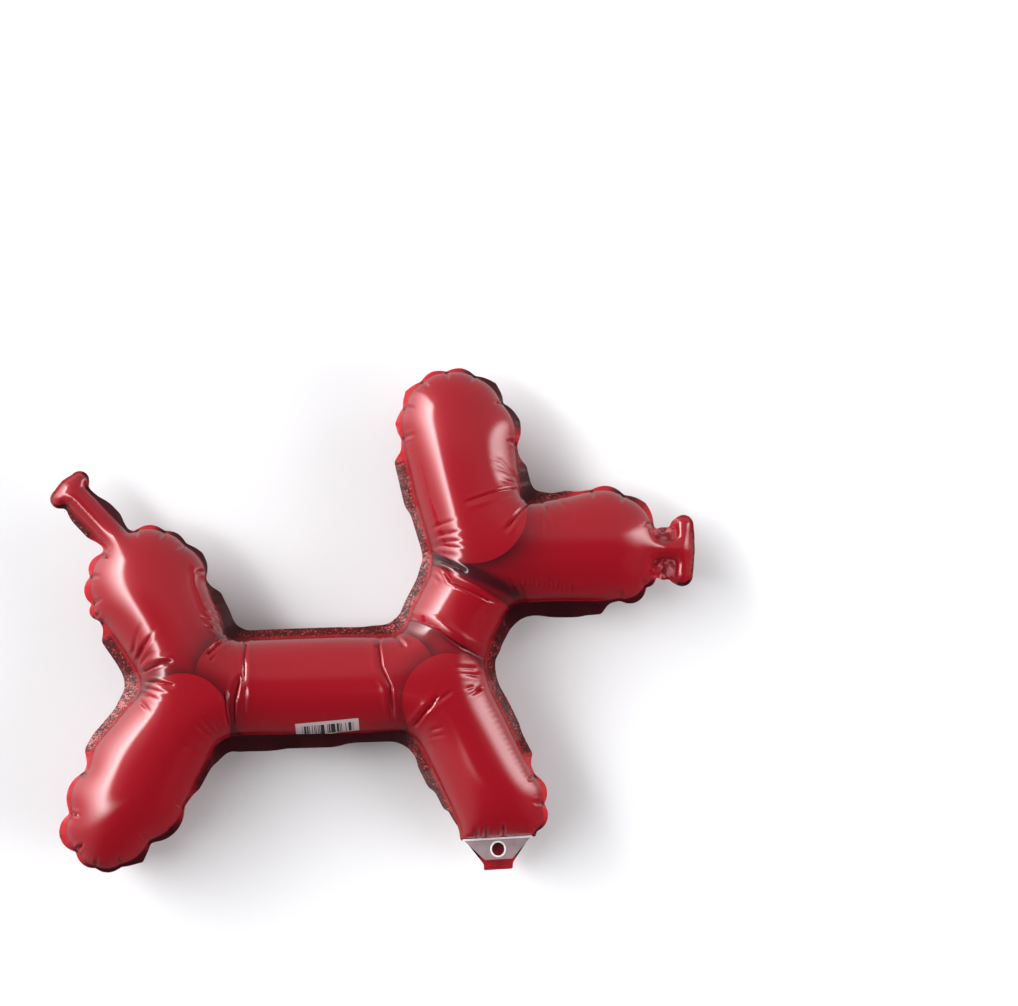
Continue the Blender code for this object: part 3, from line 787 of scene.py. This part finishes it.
print("turned away from the light:", round(100 * turned_away[weld > 0].mean()), "% of the flange's points")

# %% [markdown]
# Materials.  Each starts from what the real one is and how its surface was made, with its
# colours as hex values and its patterns at real sizes.  A node tree reads easily when one
# function adds every node: it takes the settings, and then what each input gets, which is a
# number, a colour or another node's output.

# %% Helpers for materials
def colour(code):
    """A linear colour from an sRGB hex value."""
    parts = [int(code[k:k + 2], 16) / 255 for k in (1, 3, 5)]
    return (*[c / 12.92 if c <= 0.04045 else ((c + 0.055) / 1.055) ** 2.4 for c in parts], 1)


def add_node(tree, kind, inputs=(), out=0, **settings):
    """Adds a node with its settings, fills or links its inputs, and returns one output."""
    node = tree.nodes.new("ShaderNode" + kind)
    for name, value in settings.items():
        setattr(node, name, value)
    for socket, value in inputs.items() if isinstance(inputs, dict) else enumerate(inputs):
        if isinstance(value, bpy.types.NodeSocket):
            tree.links.new(value, node.inputs[socket])
        else:
            node.inputs[socket].default_value = colour(value) if isinstance(value, str) else value
    return node.outputs[out]


def finish(name, base, roughness, metallic, **sockets):
    """A material with a Principled shader: its tree, that shader and the material."""
    material = bpy.data.materials.new(name)
    material.use_nodes = True
    shader = material.node_tree.nodes["Principled BSDF"]
    shader.inputs["Base Color"].default_value = colour(base)
    shader.inputs["Roughness"].default_value = roughness
    shader.inputs["Metallic"].default_value = metallic
    for socket, value in sockets.items():
        shader.inputs[socket.replace("_", " ")].default_value = value
    return material.node_tree, shader, material


def per_metre(size_in_mm):
    """The scale of a texture whose cells have this size."""
    return 1 / (size_in_mm * MM)


print("white is", colour("#FFFFFF"), "and a grain of 2 mm has scale", per_metre(2))

# %% [markdown]
# The film is clear polyester, a fifth as thick as a hair, coated with aluminium in a vacuum
# and printed in transparent red.  The eye gets two things from it: a deep satin red, because
# the print scatters what the metal throws back, and a thin clear gloss on top, which draws
# each light as a bright stripe.  So the base is a rough red that is hardly metallic, with a
# smooth coat over it.  A fine grain in the ink and slow ripples keep it from looking cast.
# The grain is drawn coarser than the real one, or it wouldn't show.
#
# The printed sausages are laid on from the lowest to the topmost.  Each first wipes out the
# shade that lies under it, and then throws its own shade beside it.

# %% The printed film: ink and shade
tree, shader, film_red = finish("printed_polyester_film", "#860717", 0.42, 0.12, IOR=1.5,
                                Specular_IOR_Level=0.1, Coat_Weight=1.0, Coat_Roughness=0.12, Coat_IOR=1.5)
kept = {name: add_node(tree, "Attribute", out="Fac", attribute_name=name)
        for name in (*SAUSAGES, "over_neck", "in_joint", "ear_dark")}
ear_strength = add_node(tree, "Math", [kept["ear_dark"], 0.95], operation="MULTIPLY")
EDGE_MM, DARKEST = 0.35, 0.95     # how soft the ink's edge is, and its deepest shade
LAYERS = (
    # the sausage, how far its shade reaches in millimetres, and how strong that is
    ("over_ear", 12, ear_strength), ("over_body", 9, 0.85), ("over_neck", 9, 0.75),
    ("over_front_leg", 7, 0.6), ("over_hind_leg", 8, 0.8),
)


def shade_beside(away, reach, strength):
    """The ink's shade, which fades with the distance from a drawn edge."""
    fading = add_node(tree, "Math", [math.exp(-1 / reach), away], operation="POWER")
    return add_node(tree, "Math", [fading, strength], operation="MULTIPLY")


shade = shade_beside(kept["in_joint"], 6, 0.8)
for name, reach, strength in LAYERS:
    own_shade = shade_beside(kept[name], reach, strength)
    deeper = add_node(tree, "Math", [shade, own_shade], operation="MAXIMUM")
    outside_it = add_node(tree, "MapRange", [kept[name], 0, EDGE_MM])
    shade = add_node(tree, "Math", [deeper, outside_it], operation="MULTIPLY")
shade = add_node(tree, "Math", [shade, DARKEST], operation="MINIMUM")
place = add_node(tree, "TexCoord", out="Object")
grain = add_node(tree, "TexNoise", {"Vector": place, "Scale": per_metre(0.6667), "Detail": 2})
ink = add_node(tree, "Mix", {0: grain, 6: "#820415", 7: "#92081A"}, 2, data_type="RGBA")
ink = add_node(tree, "Mix", {0: shade, 6: ink, 7: "#2C050C"}, 2, data_type="RGBA")
print("ink and shade:", len(tree.nodes), "nodes")

# %% [markdown]
# The code patch on the belly is a plain grey label with upright bars that say nothing.  It
# is a pattern and not a piece, because it is printed on the film and follows its curve.  A
# Mapping node moves the film's own coordinates onto the patch, and each bar's number picks a
# random value that makes it dark or leaves it out.

# %% The printed film: the code patch and the ripples
PATCH_PLACE, PATCH_TURN, PATCH_HALF = (-0.0281, -0.0680), math.radians(5), (0.0195, 0.0033)
BARS_ACROSS, BARS_UP = (-0.0156, 0.0160), (-0.0030, 0.0015)
BAR, LEFT_OUT = 0.00045, 0.45     # a bar's width, and the share of bars that is left out


def cut_to(mask, value, low, high):
    """The part of a mask where a value lies between two limits."""
    for operation, limit in (("GREATER_THAN", low), ("LESS_THAN", high)):
        side = add_node(tree, "Math", [value, limit], operation=operation)
        mask = add_node(tree, "Math", [mask, side], operation="MULTIPLY")
    return mask


ground = add_node(tree, "Mapping", {
    "Vector": place, "Location": (PATCH_PLACE[0] + SHIFT[0], PATCH_PLACE[1] + SHIFT[1], 0),
    "Rotation": (0, 0, PATCH_TURN)}, vector_type="TEXTURE")
across, up, high = add_node(tree, "SeparateXYZ", [ground]).node.outputs
on_patch = add_node(tree, "Math", [high, SEAM_HEIGHT], operation="GREATER_THAN")
on_patch = cut_to(on_patch, across, -PATCH_HALF[0], PATCH_HALF[0])
on_patch = cut_to(on_patch, up, -PATCH_HALF[1], PATCH_HALF[1])
bars_along = add_node(tree, "Math", [across, BAR], operation="DIVIDE")
bar_number = add_node(tree, "Math", [bars_along], operation="FLOOR")
chance = add_node(tree, "TexWhiteNoise", {"W": bar_number}, noise_dimensions="1D")
dark_bar = add_node(tree, "Math", [chance, LEFT_OUT], operation="GREATER_THAN")
dark_bar = cut_to(cut_to(dark_bar, across, *BARS_ACROSS), up, *BARS_UP)
patch = add_node(tree, "Mix", {0: dark_bar, 6: "#B4A4A6", 7: "#2A2226"}, 2, data_type="RGBA")
ink = add_node(tree, "Mix", {0: on_patch, 6: ink, 7: patch}, 2, data_type="RGBA")
tree.links.new(ink, shader.inputs["Base Color"])
ripple = add_node(tree, "TexNoise", {"Vector": place, "Scale": per_metre(6.25), "Detail": 3})
bump = add_node(tree, "Bump", {"Height": ripple, "Strength": 0.35, "Distance": 0.0004})
tree.links.new(bump, shader.inputs["Normal"])
print(film_red.name, "has", len(tree.nodes), "nodes")

# %% [markdown]
# The flange is both films melted together between heated jaws with a fine knurl.  That
# cracks the print and takes its gloss, so the eye sees a dark matt band.  Each facet of the
# knurl is a cell of a Voronoi pattern, and a ramp gives few of them a light colour: painted
# glints, which stand for the facets that face a light.  The tabs between two pinches were
# hardly pressed and stay red.  What is turned downwards or away from the light, and the
# notch at each pinch, get a painted shade that is nearly black.

# %% The heat-sealed flange: its knurl and painted glints
tree, shader, flange_red = finish("heat_sealed_flange", "#4A0C12", 0.45, 0.0, IOR=1.45,
                                  Specular_IOR_Level=0.30)
KNURL = 0.9                       # millimetres
GLINTS = ((0.0, "#240306"), (0.50, "#40070C"), (0.80, "#640F16"), (0.93, "#8A2C1E"), (1.0, "#A8444A"))
SOFT = {"interpolation_type": "SMOOTHSTEP"}
kept = {name: add_node(tree, "Attribute", out="Fac", attribute_name=name) for name in (
    "from_pinch", "from_weld", "turned_away", "turned_down", "towards_light", "on_web", "on_strip")}
place = add_node(tree, "TexCoord", out="Object")
knurl = add_node(tree, "TexVoronoi", {"Vector": place, "Scale": per_metre(KNURL)}, "Color")
facet = add_node(tree, "SeparateColor", [knurl])
glints = add_node(tree, "ValToRGB", [facet])
stops = glints.node.color_ramp.elements
for at, code in GLINTS:
    stop = stops[0] if at == 0 else stops[-1] if at == 1 else stops.new(at)
    stop.color = colour(code)
# On the left, towards the light, the knurl gets pale painted glints in patches.
patchy = add_node(tree, "TexNoise", {"Vector": place, "Scale": per_metre(16.67), "Detail": 1})
lit = kept["towards_light"]
for value, low, high in ((patchy, 0.25, 0.65), (facet, 0.30, 0.95)):
    share = add_node(tree, "MapRange", [value, low, high], **SOFT)
    lit = add_node(tree, "Math", [lit, share], operation="MULTIPLY")
knurl_and_glints = add_node(tree, "Mix", {0: lit, 6: glints, 7: "#C0625E"}, 2, data_type="RGBA")
print(len(stops), "colours on facets of", KNURL, "mm")

# %% The heat-sealed flange: its tabs, painted shade on turned parts and notches, its strip, and webs with painted highlights
by_weld = add_node(tree, "MapRange", [kept["from_weld"], 0.0, 2.5], **SOFT)
past_tab = add_node(tree, "MapRange", [kept["from_pinch"], TAB_FROM / MM, TAB_TO / MM], **SOFT)
# Painted shade in the notch at each pinch, where the film is drawn in.
notch_shade = add_node(tree, "MapRange", [kept["from_pinch"], 2.6, 0.8], **SOFT)
creased = add_node(tree, "TexNoise", {"Vector": place, "Scale": per_metre(4.348), "Detail": 4,
                                      "Distortion": 0.8})
crest = add_node(tree, "MapRange", [creased, 0.42, 0.75], **SOFT)
# The webs beside the nozzle are crumpled, and a painted highlight turns them pink on a noise's crests,
# where they would catch the light.
web_red_and_highlights = add_node(tree, "Mix", {0: crest, 6: "#94101E", 7: "#D8848C"}, 2, data_type="RGBA")
banded = add_node(tree, "Mix", {0: by_weld, 6: "#8C0A16", 7: knurl_and_glints}, 2, data_type="RGBA")
flange_ink = add_node(tree, "Mix", {0: past_tab, 6: "#A2101E", 7: banded}, 2, data_type="RGBA")
# Painted shade: where the flange is turned downwards or away from the light, its colour is darkened nearly
# to black.
painted_down_shade = add_node(tree, "Mix", {0: past_tab, 6: "#34060C", 7: "#2A050A"}, 2, data_type="RGBA")
for share, over in ((kept["turned_down"], painted_down_shade), (kept["turned_away"], "#36040A"),
                    (notch_shade, "#2A0308"), (kept["on_strip"], "#9C101E"), (kept["on_web"], web_red_and_highlights)):
    flange_ink = add_node(tree, "Mix", {0: share, 6: flange_ink, 7: over}, 2, data_type="RGBA")
tree.links.new(flange_ink, shader.inputs["Base Color"])
crumple = add_node(tree, "TexNoise", {"Vector": place, "Scale": per_metre(2.381), "Detail": 2})
bump = add_node(tree, "Bump", {"Height": crumple, "Strength": 0.6, "Distance": 0.0005})
tree.links.new(bump, shader.inputs["Normal"])
print(flange_red.name, "has", len(tree.nodes), "nodes")

# %% [markdown]
# The film now gets both finishes: each face outside the weld takes the flange's.  The folds
# are smooth, apart from the cut edge, where the angle between two faces is more than 60
# degrees.  The finished film stands for the solid balloon and rides on the one body.

# %% Give the film its two finishes
WELD_EDGE = 0.00005
balloon_mesh.materials.append(film_red)
balloon_mesh.materials.append(flange_red)
on_flange = weld_distance(read_vectors(balloon_mesh.polygons, "center")[:, :2] - SHIFT) > WELD_EDGE
balloon_mesh.polygons.foreach_set("material_index", on_flange.astype(np.int32))
balloon_mesh.shade_smooth()
balloon_mesh.set_sharp_from_angle(angle=math.radians(60))


def piece(name, mesh):
    """An object for a finished mesh, which rides on the body."""
    thing = bpy.data.objects.new(name, mesh)
    bpy.context.scene.collection.objects.link(thing)
    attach(thing, "root")
    return thing


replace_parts(piece("balloon_film", balloon_mesh), "balloon")
print("flange:", int(on_flange.sum()), "of", len(on_flange), "faces")

# %% [markdown]
# The valve.  A film of clear polyethylene, a little cloudy as cast film is, is sealed over
# the neck: the eye gets a pale grey over the red.  It has an oval hole for the filling
# straw.  The model's own valve film has the right shape, so it only gets its finish.  The
# ring and the bead are the same plastic, welded thicker, which makes them nearly white.

# %% The valve film's finish, and that of its thick welds
tree, shader, valve_grey = finish("clear_valve_film", "#8E7C81", 0.30, 0.25, IOR=1.5,
                                  Coat_Weight=0.5, Coat_Roughness=0.1)
place = add_node(tree, "TexCoord", out="Object")
cloud = add_node(tree, "TexNoise", {"Vector": place, "Scale": per_metre(7.692), "Detail": 3})
cloudy = add_node(tree, "Mix", {0: cloud, 6: "#7A6468", 7: "#A59699"}, 2, data_type="RGBA")
tree.links.new(cloudy, shader.inputs["Base Color"])
bump = add_node(tree, "Bump", {"Height": cloud, "Strength": 0.5, "Distance": 0.0006})
tree.links.new(bump, shader.inputs["Normal"])
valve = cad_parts["valve_film"]
valve.data.materials.clear()
valve.data.materials.append(valve_grey)

tree, shader, weld_white = finish("welded_polyethylene", "#D6CCCE", 0.35, 0.0, IOR=1.5)
place = add_node(tree, "TexCoord", out="Object")
cloud = add_node(tree, "TexNoise", {"Vector": place, "Scale": per_metre(1.4286)})
cloudy = add_node(tree, "Mix", {0: cloud, 6: "#BDB2B5", 7: "#E4DDDE"}, 2, data_type="RGBA")
tree.links.new(cloudy, shader.inputs["Base Color"])
print(valve_grey.name, "and", weld_white.name)

# %% [markdown]
# The ring round the hole is a small flat section spun once round and then stretched to the
# oval.  The bead across the foot is a long thin bar with rounded edges.  Both are made round
# the zero point and then moved to the seal, which is turned a little.

# %% Where the seal lies
along = Vector((math.cos(SEAL_TILT), math.sin(SEAL_TILT), 0))
down = Vector((math.sin(SEAL_TILT), -math.cos(SEAL_TILT), 0))
seal = Vector((SEAL_MIDDLE[0] + SHIFT[0], SEAL_MIDDLE[1] + SHIFT[1], FILM_HIGH.z))
turned = Matrix((along, -down, (0, 0, 1))).transposed().to_4x4()


def hand_over(shape, name, down_by):
    """Moves a shape down from the seal and makes it a white piece."""
    place = Matrix.Translation(seal + down * down_by) @ turned
    bmesh.ops.transform(shape, verts=shape.verts, matrix=place)
    mesh = bpy.data.meshes.new(name)
    shape.to_mesh(mesh)
    shape.free()
    mesh.materials.append(weld_white)
    mesh.shade_smooth()
    piece(name, mesh)
    print(name, "has", len(mesh.polygons), "faces")


# %% The ring round the hole
HOLE_DOWN, HOLE_HALF = 0.00745, (0.0040, 0.0042)
RING_WIDE, RING_THICK, RING_OUT = 0.00055, 0.0004, 0.7
ring = bmesh.new()
section = bmesh.ops.create_circle(ring, segments=8, radius=1)["verts"]
bmesh.ops.scale(ring, verts=section, vec=(RING_WIDE, RING_THICK, 1))
bmesh.ops.rotate(ring, verts=section, matrix=Matrix.Rotation(math.pi / 2, 3, "X"))
bmesh.ops.translate(ring, verts=section, vec=(HOLE_HALF[0] + RING_WIDE * RING_OUT, 0, 0))
bmesh.ops.spin(ring, geom=ring.verts[:] + ring.edges[:], cent=(0, 0, 0), axis=(0, 0, 1),
               angle=2 * math.pi, steps=40, use_merge=True)
bmesh.ops.remove_doubles(ring, verts=ring.verts, dist=1e-6)
bmesh.ops.scale(ring, verts=ring.verts, vec=(1, HOLE_HALF[1] / HOLE_HALF[0], 1))
bmesh.ops.recalc_face_normals(ring, faces=ring.faces)
hand_over(ring, "hole_ring", HOLE_DOWN)

# %% The bead at the seal
BEAD, BEAD_ROUND, BEAD_DOWN = (0.0430, 0.0013, 0.0009), 0.0004, 0.0008
bead = bmesh.new()
bmesh.ops.create_cube(bead, size=1)
bmesh.ops.scale(bead, verts=bead.verts, vec=BEAD)
bmesh.ops.bevel(bead, geom=bead.edges[:], offset=BEAD_ROUND, segments=3, profile=0.5,
                affect="EDGES", material=-1)
hand_over(bead, "seal_bead", BEAD_DOWN)

# %% [markdown]
# The stage is a plain pale floor, painted matt so that it shows soft shadows and no gloss.
# The film doesn't mirror it, because its white would wash out the film's lower sides.

# %% The floor
FLOOR_GAP = 0.0003      # keeps the flat spots underneath and the floor from lying in one plane
FLOOR_SIZE = 4.0
floor_mesh = bpy.data.meshes.new("floor")
sheet = bmesh.new()
bmesh.ops.create_grid(sheet, x_segments=1, y_segments=1, size=FLOOR_SIZE)
bmesh.ops.translate(sheet, verts=sheet.verts, vec=(0, 0, -FLOOR_GAP))
sheet.to_mesh(floor_mesh)
sheet.free()
_, _, floor_paint = finish("pale_floor", "#DCDCDE", 0.9, 0.0, Specular_IOR_Level=0.0)
floor_mesh.materials.append(floor_paint)
floor = bpy.data.objects.new("floor", floor_mesh)
bpy.context.scene.collection.objects.link(floor)
floor.visible_glossy = False
print("floor", 2 * FLOOR_SIZE, "m wide")

# %% [markdown]
# Glossy film shows its surroundings, so the studio is described by what lies in each
# direction from the balloon: a long soft box on the left whose upper edge is crisp and which
# fades downwards, a weaker one on the right, a faint glow from the far left, and a dim room
# that is lighter behind the ears.  Each is a strength with a few edges.  An edge is a
# direction, and how far towards it, as a sine, the light begins and is full.

# %% The studio in every direction
LEFT_EDGES = (((0, -0.423, -0.906), -0.765, -0.635), ((-0.788, -0.616, 0), 0.0, 0.12),
              ((-0.174, 0.985, 0), -0.32, -0.02))
RIGHT_EDGES = (((-0.139, 0.990, 0), -0.15, 0.33), ((0.530, -0.848, 0), 0.0, 0.15),
               ((0, 0, -1), -0.74, -0.34), ((0, 0, 1), -0.6, 0.2))
GLOW_EDGES, EAR_EDGES = (((-1, -0.05, 0), 0.3, 0.95),), (((0, 1, 0), 0.05, 0.35),)
LEFT_BOX, RIGHT_BOX, LEFT_GLOW, EAR_SIDE = 26.0, 7.5, 0.5, 0.40
UPPER_EDGE = 0.745                      # how far the left box's upper edge lies above the horizon
LEFT_FADE, FADE_MORE, FADE_LEAST = 0.17, 0.17, 0.08     # downwards, slower towards the ears
ROOM, BACKGROUND = 0.08, 0.85           # the dim room, and what the camera sees beyond the floor
world = bpy.data.worlds.new("studio")
bpy.context.scene.world = world
world.use_nodes = True
tree = world.node_tree
way = add_node(tree, "TexCoord", out="Generated")


def lit_between(strength, edges):
    """A light's strength in every direction, cut off softly at its edges."""
    for direction, low, high in edges:
        towards = Vector(direction).normalized()
        sine = add_node(tree, "VectorMath", [way, towards], "Value", operation="DOT_PRODUCT")
        share = add_node(tree, "MapRange", [sine, low, high], **SOFT)
        strength = add_node(tree, "Math", [strength, share], operation="MULTIPLY")
    return strength


down_left, up_ears = [
    add_node(tree, "VectorMath", [way, Vector(direction).normalized()], "Value", operation="DOT_PRODUCT")
    for direction in (LEFT_EDGES[0][0], (0, 1, 0))]
under_edge = add_node(tree, "Math", [down_left, UPPER_EDGE], operation="ADD")
slower = add_node(tree, "Math", [up_ears, FADE_MORE, LEFT_FADE], operation="MULTIPLY_ADD")
fade = add_node(tree, "Math", [slower, FADE_LEAST], operation="MAXIMUM")
faded = add_node(tree, "Math", [under_edge, fade], operation="DIVIDE")
falling = add_node(tree, "Math", [math.exp(-1), faded], operation="POWER")
left_box = add_node(tree, "Math", [lit_between(LEFT_BOX, LEFT_EDGES), falling], operation="MULTIPLY")
studio = ROOM
for light in (left_box, lit_between(RIGHT_BOX, RIGHT_EDGES), lit_between(LEFT_GLOW, GLOW_EDGES),
              lit_between(EAR_SIDE, EAR_EDGES)):
    studio = add_node(tree, "Math", [studio, light], operation="ADD")
seen = add_node(tree, "LightPath", out="Is Camera Ray")
brightness = add_node(tree, "Mix", {0: seen, 2: studio, 3: BACKGROUND})
sky = tree.nodes["Background"]
sky.inputs["Color"].default_value = colour("#FFFFFF")
tree.links.new(brightness, sky.inputs["Strength"])
print("the studio has", len(tree.nodes), "nodes")

# %% [markdown]
# Two wide soft lights give the floor and the film their even part: a faint one overhead, and
# a stronger one low on the right, which fills the limbs' right sides.  They would add stripes
# that the photograph doesn't show, so nothing mirrors them.


# %% Two wide soft lights
def soft_light(name, size, energy, place):
    """A round soft light that shines at the balloon, and that nothing mirrors."""
    light = bpy.data.lights.new(name, "AREA")
    light.shape = "DISK"
    light.size = size
    light.energy = energy
    lamp = bpy.data.objects.new(name, light)
    lamp.location = place
    lamp.rotation_euler = lamp.location.to_track_quat("Z", "Y").to_euler()
    lamp.visible_glossy = False
    lamp.visible_camera = False
    bpy.context.scene.collection.objects.link(lamp)
    print(name, "is", round(lamp.location.length, 2), "m away")


soft_light("overhead", 3.0, 5, (0.2, 0.3, 2.3))
soft_light("low_right", 1.6, 46, (2.0, -0.7, 0.85))

# %% [markdown]
# The camera stands straight over the dog's side, tilted a little from the feet.  Its lens
# follows from the size of the photograph's pixels in the seam plane, and its shift puts the
# dog at the lower left of the frame, as the photograph has it.

# %% The camera
PHOTO_WIDTH, PHOTO_HEIGHT = 1018, 1006
PIXEL = 0.00062                   # metres of seam plane per pixel of the photograph
AXIS = (373, 619)                 # the pixel where the figure's own zero is
DISTANCE, TILT, SENSOR = 2.2, math.radians(5.5), 36
camera_data = bpy.data.cameras.new("camera")
camera = bpy.data.objects.new("camera", camera_data)
bpy.context.scene.collection.objects.link(camera)
camera_data.sensor_width = SENSOR
camera_data.lens = SENSOR * DISTANCE / (PHOTO_WIDTH * PIXEL)
centre = Vector((SHIFT[0], SHIFT[1], SEAM_HEIGHT))
camera.location = centre + Vector((0, -math.sin(TILT), math.cos(TILT))) * DISTANCE
camera.rotation_euler = (TILT, 0, 0)
camera_data.shift_x = (PHOTO_WIDTH / 2 - AXIS[0]) / PHOTO_WIDTH
camera_data.shift_y = (AXIS[1] - PHOTO_HEIGHT / 2) / PHOTO_WIDTH
bpy.context.scene.camera = camera
bpy.context.scene.view_settings.view_transform = "Standard"
print("lens", round(camera_data.lens, 1), "mm")
